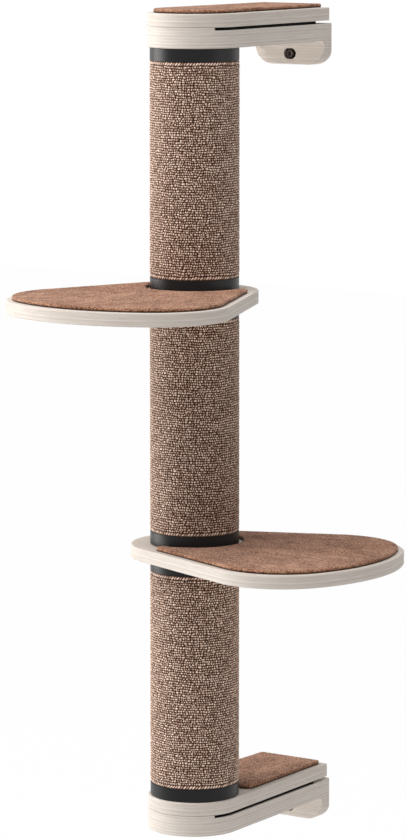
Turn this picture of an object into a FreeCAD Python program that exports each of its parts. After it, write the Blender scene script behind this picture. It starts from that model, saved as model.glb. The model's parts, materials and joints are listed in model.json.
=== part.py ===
import FreeCAD, Part
import math
import os

# A wall mounted cat tree: two wooden arms fixed to the wall, a sisal covered column in three lengths
# between them, and two carpeted platforms that swivel about the column where its lengths meet.
# Sizes are in millimetres. +X runs along the wall, +Y points into the wall and +Z is up.
# The origin is the middle of the lower bracket's wall face.
# Each sub-part is modelled about the column axis with its own length along +X, then turned to its
# heading and put at its height.

Vector = FreeCAD.Vector

# Where things stand
AXIS_TO_WALL = 255.0            # column axis to the wall
SEGMENT_LENGTH = 326.0          # one length of column over its two end caps
ARM_HEADING = 90.0              # degrees: the arms run from the column to the wall
LOWER_PLATFORM_HEADING = 0.0    # degrees: along the wall
UPPER_PLATFORM_HEADING = -90.0  # degrees: straight out into the room

# Arms: a board on a bracket, with a slot and a spacer plate between them
BOARD_THICKNESS = 18.0
ARM_FRONT_MARGIN = 3.0          # the rounded end stands this far out around the column's caps
ARM_TAPER = 6.0                 # each side draws in by this much towards the wall
BOARD_WALL_GAP = 6.0            # the board stops this short of the wall
BOARD_CORNER_RADIUS = 4.0
BRACKET_THICKNESS = 28.0
BRACKET_CORNER_RADIUS = 4.0     # upright edges at the wall
SLOT_HEIGHT = 4.0
SLOT_START = 32.0               # the slot begins this far in front of the column axis
SPACER_INSET = 3.0              # the plate in the slot stands this far in from the board's sides
SPACER_END_GAP = 0.3            # between that plate and the slot's closed end
SPACER_WALL_GAP = 34.0          # the plate stops this far short of the board's end at the wall
LUG_DROP = 33.5                 # the wall lug hangs this far below the bracket
LUG_DEPTH = 21.0
LUG_CORNER_RADIUS = 27.0
LUG_ROOT_RADIUS = 8.0           # hollow where the lug's front meets the bracket's underside
EDGE_ROUND = 1.5                # sanded edges of all the wooden pieces

# Platforms: a round neck about the column that widens to two shoulders and a bowed front
NECK_MARGIN = 26.0              # the neck stands this far out around the column's caps
SHOULDER_RADIUS = 101.0
SHOULDER_ALONG = 178.0          # shoulder centre, along the platform
SHOULDER_ACROSS = 57.0          # shoulder centre, to each side
PLATFORM_FRONT_RADIUS = 224.0   # bowed front edge

# Carpet mats
MAT_THICKNESS = 5.0
MAT_INSET = 8.0                 # bare wood around each mat
MAT_SEAT_GAP = 0.3              # glue line under each mat
MAT_EDGE_ROUND = 1.8
MAT_CUTOUT_CLEARANCE = 6.5      # between a column cap and the mat around it
ARM_MAT_CORNER_RADIUS = 5.0
PLATFORM_MAT_START = -8.0       # where a platform's mat begins beside the column
PLATFORM_MAT_TIP_SHARE = 0.4    # share of a tip's width that its outer corner's radius takes
LOWER_ARM_MAT_OVERLAP = 5.0     # the lower arm's mat begins this far in front of the caps' back edge
LOWER_ARM_MAT_TIP_SHARE = 0.8

# Column
CAP_RADIUS = 60.0
CAP_HEIGHT = 17.5               # the black ring that shows
CAP_PLATE = 4.0
CAP_WALL = 5.0                  # wall of the spigot inside the tube
CAP_RIM_ROUND = 0.8
SPIGOT_LENGTH = 22.0
CAP_BOSS_RADIUS = 13.0
CAP_RIB_COUNT = 6
CAP_RIB_THICKNESS = 3.0
SISAL_PROUD = 0.6               # the sisal stands this far out beyond the caps
SISAL_THICKNESS = 2.5
SISAL_END_GAP = 0.3
TUBE_WALL = 5.0
GLUE_LINE = 0.1                 # between sisal and tube, and between tube and spigot

# Fasteners in the column: ten millimetre thread
THREAD_RADIUS = 5.0
THREAD_CLEARANCE = 0.05
BOLT_HOLE_CLEARANCE = 0.5
INSERT_RADIUS = 7.0
INSERT_LENGTH = 24.0
THREAD_ENGAGEMENT = 20.0
BOLT_HEAD_RADIUS = 8.8
BOLT_HEAD_HEIGHT = 5.5
BOLT_HEAD_ROUND = 2.5
BOLT_SOCKET_RADIUS = 3.5
BOLT_SOCKET_DEPTH = 3.2
WASHER_RADIUS = 11.0
WASHER_THICKNESS = 2.0
WASHER_HOLE_CLEARANCE = 0.3
HEAD_POCKET_CLEARANCE = 1.0     # around the washer
HEAD_POCKET_SPARE = 1.5         # depth beyond the head

# Swivel
BUSH_RADIUS = 20.0
BUSH_RUNNING_CLEARANCE = 0.05
SWIVEL_GAP = 0.2                # between each cap and the platform board
SLIP_WASHER_MARGIN = 20.0       # the caps stand this far out around the slip washers
SLIP_WASHER_THICKNESS = 1.2
SLIP_WASHER_CLEARANCE = 0.3

# Wall screws, one through each lug
WALL_SCREW_RADIUS = 3.0         # outside the thread
WALL_SCREW_HOLE_CLEARANCE = 0.3
WALL_SCREW_BELOW_BRACKET = 18.8 # hole centre below the bracket's underside
WALL_SCREW_NECK_RADIUS = 2.7    # plain neck between the head and the thread
WALL_SCREW_THREAD_START = 1.0   # the thread begins this far beyond the wall face
WALL_SCREW_THREAD_LENGTH = 43.0
WALL_SCREW_TIP = 7.0
WALL_SCREW_HEAD_RADIUS = 6.0
WALL_SCREW_HEAD_HEIGHT = 4.0
WALL_SCREW_HEAD_ROUND = 1.2
WALL_SCREW_SOCKET_RADIUS = 2.4
WALL_SCREW_SOCKET_DEPTH = 2.4
WALL_WASHER_RADIUS = 7.3
WALL_WASHER_THICKNESS = 1.2
WALL_WASHER_SPREAD = 2.4        # the washer's round ends, to each side of the screw
WALL_POCKET_CLEARANCE = 0.3     # around the washer
WALL_POCKET_DEPTH = 5.6

# Wood screws that hold each board to its bracket
WOOD_SCREW_RADIUS = 2.2
WOOD_SCREW_HEAD_RADIUS = 4.4
WOOD_SCREW_LENGTH = 34.0
WOOD_SCREW_TIP = 4.0
WOOD_SCREW_SPREAD = 28.0        # from the column axis, to each side
WOOD_SCREW_SINK = 0.4           # head below the board's face
WOOD_SCREW_HOLE_CLEARANCE = 0.1

SEGMENT_NAMES = ("lower", "middle", "upper")
PLATFORM_NAMES = ("lower", "upper")

# Levels and lengths that follow from the sizes above
BRACKET_BODY = BRACKET_THICKNESS - SLOT_HEIGHT
LOWER_BRACKET_Z = LUG_DROP - (BRACKET_BODY + LUG_DROP) / 2
LOWER_BOARD_Z = LOWER_BRACKET_Z + BRACKET_THICKNESS
COLUMN_FOOT_Z = LOWER_BOARD_Z + BOARD_THICKNESS
PLATFORM_SPACE = BOARD_THICKNESS + 2 * SWIVEL_GAP
SEGMENT_PITCH = SEGMENT_LENGTH + PLATFORM_SPACE
COLUMN_HEAD_Z = COLUMN_FOOT_Z + len(SEGMENT_NAMES) * SEGMENT_PITCH - PLATFORM_SPACE
UPPER_BRACKET_Z = COLUMN_HEAD_Z
UPPER_BOARD_Z = UPPER_BRACKET_Z + BRACKET_THICKNESS
LOWER_PLATFORM_Z = COLUMN_FOOT_Z + SEGMENT_LENGTH + SWIVEL_GAP
UPPER_PLATFORM_Z = LOWER_PLATFORM_Z + SEGMENT_PITCH
ARM_FRONT_RADIUS = CAP_RADIUS + ARM_FRONT_MARGIN
ARM_WALL_HALF_WIDTH = ARM_FRONT_RADIUS - ARM_TAPER
BOARD_END = AXIS_TO_WALL - BOARD_WALL_GAP
NECK_RADIUS = CAP_RADIUS + NECK_MARGIN
MAT_CUTOUT_RADIUS = CAP_RADIUS + MAT_CUTOUT_CLEARANCE
LOWER_ARM_MAT_START = CAP_RADIUS - LOWER_ARM_MAT_OVERLAP
SISAL_RADIUS = CAP_RADIUS + SISAL_PROUD
SLIP_WASHER_RADIUS = CAP_RADIUS - SLIP_WASHER_MARGIN
TUBE_RADIUS = SISAL_RADIUS - SISAL_THICKNESS - GLUE_LINE
TUBE_BORE = TUBE_RADIUS - TUBE_WALL
SPIGOT_RADIUS = TUBE_BORE - GLUE_LINE
HEAD_POCKET_RADIUS = WASHER_RADIUS + HEAD_POCKET_CLEARANCE
HEAD_POCKET_DEPTH = WASHER_THICKNESS + BOLT_HEAD_HEIGHT + HEAD_POCKET_SPARE
BOLT_HOLE_RADIUS = THREAD_RADIUS + BOLT_HOLE_CLEARANCE
ARM_STACK = BOARD_THICKNESS + BRACKET_THICKNESS
LUG_FRONT = AXIS_TO_WALL - LUG_DEPTH
WALL_POCKET_RADIUS = WALL_WASHER_RADIUS + WALL_POCKET_CLEARANCE
WALL_SCREW_SEAT = LUG_FRONT + WALL_POCKET_DEPTH - WALL_WASHER_THICKNESS
BOLT_LENGTH = ARM_STACK - HEAD_POCKET_DEPTH + WASHER_THICKNESS + THREAD_ENGAGEMENT
SOCKET_SIDES = 6
OVERCUT = 1.0                   # how far a cutting tool runs past the face that it opens
SAME_PLACE = 0.001              # two points closer than this are one


def polar(centre_x, centre_y, radius, degrees):
    """A point on a circle in the ground plane."""
    turn = math.radians(degrees)
    return Vector(centre_x + radius * math.cos(turn), centre_y + radius * math.sin(turn), 0)


def arc(centre_x, centre_y, radius, start, end):
    """An arc from one direction to another, in degrees, turning to the left."""
    middle = (start + end) / 2
    points = [polar(centre_x, centre_y, radius, turn) for turn in (start, middle, end)]
    return Part.Arc(*points).toShape()


def closed_wire(arcs):
    """Arcs in order, with a straight edge wherever two neighbours don't meet."""
    edges = []
    for index, edge in enumerate(arcs):
        following = arcs[(index + 1) % len(arcs)]
        here = edge.valueAt(edge.LastParameter)
        there = following.valueAt(following.FirstParameter)
        edges.append(edge)
        if here.distanceToPoint(there) > SAME_PLACE:
            edges.append(Part.LineSegment(here, there).toShape())
    return Part.Wire(edges)


def tangent_direction(first_radius, along, across, second_radius):
    """Direction in degrees from both centres to the line that touches two circles on the left side.

    The first circle is at the column axis and the second is at (along, across).
    """
    way = math.degrees(math.atan2(across, along))
    opening = math.degrees(math.acos((first_radius - second_radius) / math.hypot(along, across)))
    return way + opening


def arm_outline(front_radius, half_width, end, corner_radius):
    """Round end about the column axis and straight sides that draw in to a square end."""
    corner_along = end - corner_radius
    corner_across = half_width - corner_radius
    side = tangent_direction(front_radius, corner_along, corner_across, corner_radius)
    return closed_wire([
        arc(0, 0, front_radius, side, 360 - side),
        arc(corner_along, -corner_across, corner_radius, -side, 0),
        arc(corner_along, corner_across, corner_radius, 0, side),
    ])


def arm_half_width(along):
    """Half the width of an arm's outline at a distance from the column axis."""
    corner = BRACKET_CORNER_RADIUS
    side = math.radians(tangent_direction(
        ARM_FRONT_RADIUS, AXIS_TO_WALL - corner, ARM_WALL_HALF_WIDTH - corner, corner))
    return (ARM_FRONT_RADIUS - along * math.cos(side)) / math.sin(side)


def platform_outline(inset):
    """Neck about the column axis, two shoulders and a bowed front, all drawn in by the inset."""
    neck = NECK_RADIUS - inset
    shoulder = SHOULDER_RADIUS - inset
    front = PLATFORM_FRONT_RADIUS - inset
    front_centre = SHOULDER_ALONG - math.sqrt((front - shoulder) ** 2 - SHOULDER_ACROSS ** 2)
    side = tangent_direction(neck, SHOULDER_ALONG, SHOULDER_ACROSS, shoulder)
    meet = math.degrees(math.atan2(SHOULDER_ACROSS, SHOULDER_ALONG - front_centre))
    return closed_wire([
        arc(0, 0, neck, side, 360 - side),
        arc(SHOULDER_ALONG, -SHOULDER_ACROSS, shoulder, -side, -meet),
        arc(front_centre, 0, front, -meet, meet),
        arc(SHOULDER_ALONG, SHOULDER_ACROSS, shoulder, meet, side),
    ])


def prism(outline, bottom, height):
    """The solid over an outline."""
    solid = Part.Face(outline).extrude(Vector(0, 0, height))
    solid.translate(Vector(0, 0, bottom))
    return solid


def disc(radius, bottom, height, along=0, across=0):
    """An upright cylinder."""
    return Part.makeCylinder(radius, height, Vector(along, across, bottom))


def ring(outer, inner, bottom, height):
    """An upright tube about the column axis."""
    return disc(outer, bottom, height).cut(disc(inner, bottom - OVERCUT, height + 2 * OVERCUT))


def level_edges(solid, level):
    """Edges that lie flat at one height."""
    return [
        edge for edge in solid.Edges
        if abs(edge.BoundBox.ZMin - level) < SAME_PLACE and abs(edge.BoundBox.ZMax - level) < SAME_PLACE
    ]


def upright_edges(solid, along):
    """Upright edges at one distance along."""
    found = []
    for edge in solid.Edges:
        box = edge.BoundBox
        if abs(box.XMin - along) < SAME_PLACE and box.XLength < SAME_PLACE and box.YLength < SAME_PLACE:
            found.append(edge)
    return found


def placed(solid, heading, level):
    """Turn a piece that was modelled along +X to its heading, and put it on the column axis."""
    solid.rotate(Vector(0, 0, 0), Vector(0, 0, 1), heading)
    solid.translate(Vector(0, -AXIS_TO_WALL, level))
    return solid


def sanded_board(outline):
    """A plywood board with its outline's edges rounded."""
    board = prism(outline, 0, BOARD_THICKNESS)
    return board.makeFillet(EDGE_ROUND, level_edges(board, 0) + level_edges(board, BOARD_THICKNESS))


def wood_screw(across, top, clearance=0):
    """A countersunk wood screw that hangs from its head. With a clearance, the hole for it, open above."""
    shank = WOOD_SCREW_RADIUS + clearance
    head = WOOD_SCREW_HEAD_RADIUS + clearance
    cone_bottom = top - (WOOD_SCREW_HEAD_RADIUS - WOOD_SCREW_RADIUS)
    point_top = top - WOOD_SCREW_LENGTH + WOOD_SCREW_TIP
    point_bottom = point_top - WOOD_SCREW_TIP - clearance
    parts = [
        Part.makeCone(shank, head, top - cone_bottom, Vector(0, across, cone_bottom)),
        Part.makeCone(0, shank, point_top - point_bottom, Vector(0, across, point_bottom)),
    ]
    if clearance:
        parts.append(disc(head, top, WOOD_SCREW_SINK + OVERCUT, 0, across))
    return disc(shank, point_top, cone_bottom - point_top, 0, across).fuse(parts).removeSplitter()


def wood_screws(board_top, clearance=0):
    """Both wood screws of one arm, or the holes for them."""
    sides = (-WOOD_SCREW_SPREAD, WOOD_SCREW_SPREAD)
    return [wood_screw(across, board_top - WOOD_SCREW_SINK, clearance) for across in sides]


def arm_board(bolt_head_above):
    """The board of one arm. The upper one has the bolt head's pocket, under its mat."""
    board = sanded_board(
        arm_outline(ARM_FRONT_RADIUS, ARM_WALL_HALF_WIDTH, BOARD_END, BOARD_CORNER_RADIUS))
    board = board.cut(disc(BOLT_HOLE_RADIUS, -OVERCUT, BOARD_THICKNESS + 2 * OVERCUT))
    if bolt_head_above:
        pocket_floor = BOARD_THICKNESS - HEAD_POCKET_DEPTH
        board = board.cut(disc(HEAD_POCKET_RADIUS, pocket_floor, HEAD_POCKET_DEPTH + OVERCUT))
    return board.cut(wood_screws(BOARD_THICKNESS, WOOD_SCREW_HOLE_CLEARANCE))


def lug(outline):
    """The block that hangs below a bracket at the wall, with its lower corners and front rounded."""
    depth = LUG_DEPTH + OVERCUT
    half_width = arm_half_width(LUG_FRONT)
    height = LUG_DROP + EDGE_ROUND + OVERCUT
    block = Part.makeBox(depth, 2 * half_width, height, Vector(LUG_FRONT, -half_width, -LUG_DROP))
    corners = [
        edge for edge in level_edges(block, -LUG_DROP)
        if abs(edge.BoundBox.XLength - depth) < SAME_PLACE
    ]
    block = block.makeFillet(LUG_CORNER_RADIUS, corners)
    rim = [
        edge for edge in block.Edges
        if abs(edge.BoundBox.XMax - LUG_FRONT) < SAME_PLACE and edge.BoundBox.ZMin < 0
    ]
    block = block.makeFillet(EDGE_ROUND, rim).fuse(lug_root())
    return block.common(prism(outline, -LUG_DROP - OVERCUT, height + 2 * OVERCUT))


def lug_root():
    """The hollow that leads from the bracket's underside into the lug's front, over the full width."""
    reach = ARM_FRONT_RADIUS + OVERCUT
    block = Part.makeBox(
        LUG_ROOT_RADIUS + EDGE_ROUND, 2 * reach, LUG_ROOT_RADIUS + EDGE_ROUND,
        Vector(LUG_FRONT - LUG_ROOT_RADIUS, -reach, -LUG_ROOT_RADIUS))
    hollow = Part.makeCylinder(
        LUG_ROOT_RADIUS, 2 * reach, Vector(LUG_FRONT - LUG_ROOT_RADIUS, -reach, -LUG_ROOT_RADIUS),
        Vector(0, 1, 0))
    return block.cut(hollow)


def bracket(bolt_head_below):
    """One arm's block: lug at the wall, slot under the board and the holes for its fasteners."""
    outline = arm_outline(ARM_FRONT_RADIUS, ARM_WALL_HALF_WIDTH, AXIS_TO_WALL, BRACKET_CORNER_RADIUS)
    block = prism(outline, 0, BRACKET_THICKNESS)
    block = block.makeFillet(EDGE_ROUND, level_edges(block, 0))
    body = block.fuse(lug(outline)).removeSplitter()
    body = body.cut(slot())
    body = body.cut(disc(BOLT_HOLE_RADIUS, -OVERCUT, BRACKET_THICKNESS + 2 * OVERCUT))
    if bolt_head_below:
        body = body.cut(disc(HEAD_POCKET_RADIUS, -OVERCUT, HEAD_POCKET_DEPTH + OVERCUT))
    body = body.cut(wood_screws(ARM_STACK, WOOD_SCREW_HOLE_CLEARANCE))
    return body.cut(wall_screw_tools())


def slot():
    """The gap between a bracket and its board."""
    half_width = ARM_FRONT_RADIUS + OVERCUT
    return Part.makeBox(
        SLOT_START + AXIS_TO_WALL + OVERCUT, 2 * half_width, SLOT_HEIGHT + OVERCUT,
        Vector(-SLOT_START, -half_width, BRACKET_BODY),
    )


def spacer():
    """The plate that fills most of the slot, so that the screws and the end bolt clamp on it."""
    outline = arm_outline(
        ARM_FRONT_RADIUS - SPACER_INSET, ARM_WALL_HALF_WIDTH - SPACER_INSET, BOARD_END,
        BOARD_CORNER_RADIUS)
    plate = prism(outline, BRACKET_BODY, SLOT_HEIGHT)
    start = SPACER_END_GAP - SLOT_START
    plate = plate.common(Part.makeBox(
        BOARD_END - SPACER_WALL_GAP - start, 2 * ARM_FRONT_RADIUS, BRACKET_THICKNESS,
        Vector(start, -ARM_FRONT_RADIUS, 0)))
    plate = plate.cut(disc(BOLT_HOLE_RADIUS, 0, BRACKET_THICKNESS + OVERCUT))
    return plate.cut(wood_screws(ARM_STACK, WOOD_SCREW_HOLE_CLEARANCE))


def along_arm(radius, start, length, across=0):
    """A cylinder that points at the wall at the wall screw's level."""
    return Part.makeCylinder(
        radius, length, Vector(start, across, -WALL_SCREW_BELOW_BRACKET), Vector(1, 0, 0))


def oval_along_arm(radius, start, length):
    """A bar that points at the wall at the wall screw's level, wider than high, with round ends."""
    left, right = (
        along_arm(radius, start, length, across) for across in (-WALL_WASHER_SPREAD, WALL_WASHER_SPREAD))
    middle = Part.makeBox(
        length, 2 * WALL_WASHER_SPREAD, 2 * radius,
        Vector(start, -WALL_WASHER_SPREAD, -WALL_SCREW_BELOW_BRACKET - radius))
    return left.fuse([middle, right]).removeSplitter()


def wall_screw_tools():
    """Hole makers for the wall screw: an oval pocket for its head and a hole for its shank."""
    pocket = oval_along_arm(
        WALL_POCKET_RADIUS, LUG_FRONT - LUG_ROOT_RADIUS, LUG_ROOT_RADIUS + WALL_POCKET_DEPTH)
    hole = along_arm(WALL_SCREW_RADIUS + WALL_SCREW_HOLE_CLEARANCE, LUG_FRONT, LUG_DEPTH + OVERCUT)
    return [pocket, hole]


def wall_washer():
    """An oval plate that fills the floor of the wall screw's pocket."""
    bore = WALL_SCREW_RADIUS + WALL_SCREW_HOLE_CLEARANCE
    hole = along_arm(bore, WALL_SCREW_SEAT - OVERCUT, WALL_WASHER_THICKNESS + 2 * OVERCUT)
    return oval_along_arm(WALL_WASHER_RADIUS, WALL_SCREW_SEAT, WALL_WASHER_THICKNESS).cut(hole)


def wall_screw():
    """A pan head screw with a socket, through the lug and on into the wall."""
    face = WALL_SCREW_SEAT - WALL_SCREW_HEAD_HEIGHT
    head = along_arm(WALL_SCREW_HEAD_RADIUS, face, WALL_SCREW_HEAD_HEIGHT)
    rim = [edge for edge in head.Edges if abs(edge.BoundBox.XMax - face) < SAME_PLACE]
    head = head.makeFillet(WALL_SCREW_HEAD_ROUND, rim)
    thread_start = AXIS_TO_WALL + WALL_SCREW_THREAD_START
    thread_end = thread_start + WALL_SCREW_THREAD_LENGTH
    neck = along_arm(WALL_SCREW_NECK_RADIUS, WALL_SCREW_SEAT, thread_start - WALL_SCREW_SEAT)
    thread = along_arm(WALL_SCREW_RADIUS, thread_start, WALL_SCREW_THREAD_LENGTH)
    tip_place = Vector(thread_end, 0, -WALL_SCREW_BELOW_BRACKET)
    tip = Part.makeCone(WALL_SCREW_RADIUS, 0, WALL_SCREW_TIP, tip_place, Vector(1, 0, 0))
    socket = hexagon(WALL_SCREW_SOCKET_RADIUS, WALL_SCREW_SOCKET_DEPTH + OVERCUT)
    socket.rotate(Vector(0, 0, 0), Vector(0, 1, 0), 90)
    socket.translate(Vector(face - OVERCUT, 0, -WALL_SCREW_BELOW_BRACKET))
    return head.fuse([neck, thread, tip]).removeSplitter().cut(socket)


def hexagon(radius, height):
    """A six-sided socket's space, standing on the ground plane."""
    corners = [polar(0, 0, radius, index * 360 / SOCKET_SIDES) for index in range(SOCKET_SIDES)]
    return Part.Face(Part.makePolygon(corners + corners[:1])).extrude(Vector(0, 0, height))


def mat(outline, cutout_radius):
    """A carpet mat over an outline, open about the column where it has a cut-out."""
    solid = prism(outline, 0, MAT_THICKNESS)
    if cutout_radius:
        solid = solid.cut(disc(cutout_radius, -OVERCUT, MAT_THICKNESS + 2 * OVERCUT))
    return solid


def mat_behind_column(outline, reach, start, tip_share):
    """A mat that is cut out round the column and begins beside it with two rounded tips."""
    solid = mat(outline, MAT_CUTOUT_RADIUS)
    keep = Part.makeBox(
        reach - start, 2 * reach, MAT_THICKNESS + 2 * OVERCUT, Vector(start, -reach, -OVERCUT))
    solid = solid.common(keep)
    edges = upright_edges(solid, start)
    across = [abs(edge.BoundBox.Center.y) for edge in edges]
    outer = [edge for edge, distance in zip(edges, across) if distance > max(across) - SAME_PLACE]
    tip_width = max(across) - min(across)
    return soft_top(solid.makeFillet(tip_share * tip_width, outer))


def soft_top(solid):
    """A mat with its upper edges rounded."""
    return solid.makeFillet(MAT_EDGE_ROUND, level_edges(solid, MAT_THICKNESS))


def arm_mat_outline():
    return arm_outline(
        ARM_FRONT_RADIUS - MAT_INSET, ARM_WALL_HALF_WIDTH - MAT_INSET,
        BOARD_END - MAT_INSET, ARM_MAT_CORNER_RADIUS)


def upper_arm_mat():
    return soft_top(mat(arm_mat_outline(), 0))


def lower_arm_mat():
    return mat_behind_column(arm_mat_outline(), AXIS_TO_WALL, LOWER_ARM_MAT_START, LOWER_ARM_MAT_TIP_SHARE)


def platform_mat():
    reach = SHOULDER_ALONG + PLATFORM_FRONT_RADIUS
    return mat_behind_column(platform_outline(MAT_INSET), reach, PLATFORM_MAT_START, PLATFORM_MAT_TIP_SHARE)


def platform():
    """A platform board that turns on the bush, with a shallow recess for a slip washer on each face."""
    board = sanded_board(platform_outline(0))
    board = board.cut(disc(BUSH_RADIUS + BUSH_RUNNING_CLEARANCE, -OVERCUT, BOARD_THICKNESS + 2 * OVERCUT))
    recess = SLIP_WASHER_THICKNESS - SWIVEL_GAP
    radius = SLIP_WASHER_RADIUS + SLIP_WASHER_CLEARANCE
    return board.cut([
        disc(radius, -OVERCUT, recess + OVERCUT),
        disc(radius, BOARD_THICKNESS - recess, recess + OVERCUT),
    ])


def slip_washers():
    """The two washers of one platform, standing proud of the board by the swivel gap."""
    bore = BUSH_RADIUS + SLIP_WASHER_CLEARANCE
    top = BOARD_THICKNESS + SWIVEL_GAP - SLIP_WASHER_THICKNESS
    return Part.makeCompound([
        ring(SLIP_WASHER_RADIUS, bore, -SWIVEL_GAP, SLIP_WASHER_THICKNESS),
        ring(SLIP_WASHER_RADIUS, bore, top, SLIP_WASHER_THICKNESS),
    ])


def swivel_bush():
    return ring(BUSH_RADIUS, BOLT_HOLE_RADIUS, 0, PLATFORM_SPACE)


def joining_stud():
    """A stud that screws into the caps above and below a platform. Its middle is at level 0."""
    length = PLATFORM_SPACE + 2 * THREAD_ENGAGEMENT
    return disc(THREAD_RADIUS, -length / 2, length)


def end_cap():
    """A column cap, outer face down: rim, spigot for the tube, boss for the insert and ribs."""
    pocket = SPIGOT_RADIUS - CAP_WALL
    height = CAP_HEIGHT + SPIGOT_LENGTH
    rim = disc(CAP_RADIUS, 0, CAP_HEIGHT)
    rim = rim.makeFillet(CAP_RIM_ROUND, level_edges(rim, 0))
    body = rim.fuse(disc(SPIGOT_RADIUS, CAP_HEIGHT, SPIGOT_LENGTH))
    body = body.cut(disc(pocket, CAP_PLATE, height))
    boss = disc(CAP_BOSS_RADIUS, CAP_PLATE, INSERT_LENGTH - CAP_PLATE)
    body = body.fuse([boss] + cap_ribs(pocket))
    bore = disc(INSERT_RADIUS + THREAD_CLEARANCE, -OVERCUT, height + 2 * OVERCUT)
    return body.cut(bore).removeSplitter()


def cap_ribs(pocket):
    """Webs from the boss to the spigot."""
    ribs = []
    for index in range(CAP_RIB_COUNT):
        length = pocket + CAP_WALL / 2 - CAP_BOSS_RADIUS + OVERCUT
        rib = Part.makeBox(
            length, CAP_RIB_THICKNESS, INSERT_LENGTH - CAP_PLATE,
            Vector(CAP_BOSS_RADIUS - OVERCUT, -CAP_RIB_THICKNESS / 2, CAP_PLATE))
        rib.rotate(Vector(0, 0, 0), Vector(0, 0, 1), index * 360 / CAP_RIB_COUNT)
        ribs.append(rib)
    return ribs


def turned_over(solid):
    """A cap or insert for the head of a length of column."""
    solid.rotate(Vector(0, 0, 0), Vector(1, 0, 0), 180)
    return solid


def insert():
    return ring(INSERT_RADIUS, THREAD_RADIUS + THREAD_CLEARANCE, 0, INSERT_LENGTH)


def core_tube():
    return ring(TUBE_RADIUS, TUBE_BORE, CAP_HEIGHT, SEGMENT_LENGTH - 2 * CAP_HEIGHT)


def sisal_sleeve():
    length = SEGMENT_LENGTH - 2 * CAP_HEIGHT - 2 * SISAL_END_GAP
    return ring(SISAL_RADIUS, SISAL_RADIUS - SISAL_THICKNESS, CAP_HEIGHT + SISAL_END_GAP, length)


def bolt():
    """An end bolt, head up, with its head's seat at level 0."""
    head = disc(BOLT_HEAD_RADIUS, 0, BOLT_HEAD_HEIGHT)
    head = head.makeFillet(BOLT_HEAD_ROUND, level_edges(head, BOLT_HEAD_HEIGHT))
    socket = hexagon(BOLT_SOCKET_RADIUS, BOLT_SOCKET_DEPTH + OVERCUT)
    socket.translate(Vector(0, 0, BOLT_HEAD_HEIGHT - BOLT_SOCKET_DEPTH))
    return head.fuse(disc(THREAD_RADIUS, -BOLT_LENGTH, BOLT_LENGTH)).removeSplitter().cut(socket)


def bolt_washer():
    """A washer with its upper face at level 0."""
    return ring(WASHER_RADIUS, THREAD_RADIUS + WASHER_HOLE_CLEARANCE, -WASHER_THICKNESS, WASHER_THICKNESS)


def column_pieces():
    """The caps, tubes, sleeves, inserts, studs and bushes."""
    pieces = {}
    inserts = []
    for index, name in enumerate(SEGMENT_NAMES):
        foot = COLUMN_FOOT_Z + index * SEGMENT_PITCH
        head = foot + SEGMENT_LENGTH
        pieces[name + "_foot_cap"] = placed(end_cap(), 0, foot)
        pieces[name + "_head_cap"] = placed(turned_over(end_cap()), 0, head)
        pieces[name + "_core_tube"] = placed(core_tube(), 0, foot)
        pieces[name + "_sisal_sleeve"] = placed(sisal_sleeve(), 0, foot)
        inserts.append(placed(insert(), 0, foot))
        inserts.append(placed(turned_over(insert()), 0, head))
    for index, name in enumerate(PLATFORM_NAMES):
        head = COLUMN_FOOT_Z + index * SEGMENT_PITCH + SEGMENT_LENGTH
        pieces[name + "_swivel_bush"] = placed(swivel_bush(), 0, head)
        pieces[name + "_joining_stud"] = placed(joining_stud(), 0, head + PLATFORM_SPACE / 2)
    pieces["threaded_inserts"] = Part.makeCompound(inserts)
    return pieces


def platform_pieces(name, heading, level):
    return {
        name + "_platform": placed(platform(), heading, level),
        name + "_platform_mat": placed(platform_mat(), heading, level + BOARD_THICKNESS + MAT_SEAT_GAP),
        name + "_slip_washers": placed(slip_washers(), heading, level),
    }


def arm_pieces(name, bracket_z, arm_mat, bolt_head_above):
    """The bracket, spacer, board, mat and fasteners of one arm."""
    board_z = bracket_z + BRACKET_THICKNESS
    top = board_z + BOARD_THICKNESS
    return {
        name + "_bracket": placed(bracket(not bolt_head_above), ARM_HEADING, bracket_z),
        name + "_spacer": placed(spacer(), ARM_HEADING, bracket_z),
        name + "_board": placed(arm_board(bolt_head_above), ARM_HEADING, board_z),
        name + "_arm_mat": placed(arm_mat, ARM_HEADING, top + MAT_SEAT_GAP),
        name + "_board_screws": placed(Part.makeCompound(wood_screws(ARM_STACK)), ARM_HEADING, bracket_z),
        name + "_wall_screw": placed(wall_screw(), ARM_HEADING, bracket_z),
        name + "_wall_washer": placed(wall_washer(), ARM_HEADING, bracket_z),
    }


def end_bolts():
    """The head bolt points down from the upper board, and the foot bolt up from the lower bracket."""
    head_seat = UPPER_BOARD_Z + BOARD_THICKNESS - HEAD_POCKET_DEPTH + WASHER_THICKNESS
    foot_seat = LOWER_BRACKET_Z + HEAD_POCKET_DEPTH - WASHER_THICKNESS
    return {
        "head_bolt": placed(bolt(), 0, head_seat),
        "head_bolt_washer": placed(bolt_washer(), 0, head_seat),
        "foot_bolt": placed(turned_over(bolt()), 0, foot_seat),
        "foot_bolt_washer": placed(turned_over(bolt_washer()), 0, foot_seat),
    }


def build():
    """Every sub-part by its node name."""
    pieces = column_pieces()
    pieces.update(arm_pieces("lower", LOWER_BRACKET_Z, lower_arm_mat(), False))
    pieces.update(arm_pieces("upper", UPPER_BRACKET_Z, upper_arm_mat(), True))
    pieces.update(platform_pieces("lower", LOWER_PLATFORM_HEADING, LOWER_PLATFORM_Z))
    pieces.update(platform_pieces("upper", UPPER_PLATFORM_HEADING, UPPER_PLATFORM_Z))
    pieces.update(end_bolts())
    return pieces


def main():
    os.makedirs("parts", exist_ok=True)
    for node, shape in build().items():
        shape.exportStep("parts/" + node + ".step")


if __name__ == "__main__":
    main()
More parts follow.
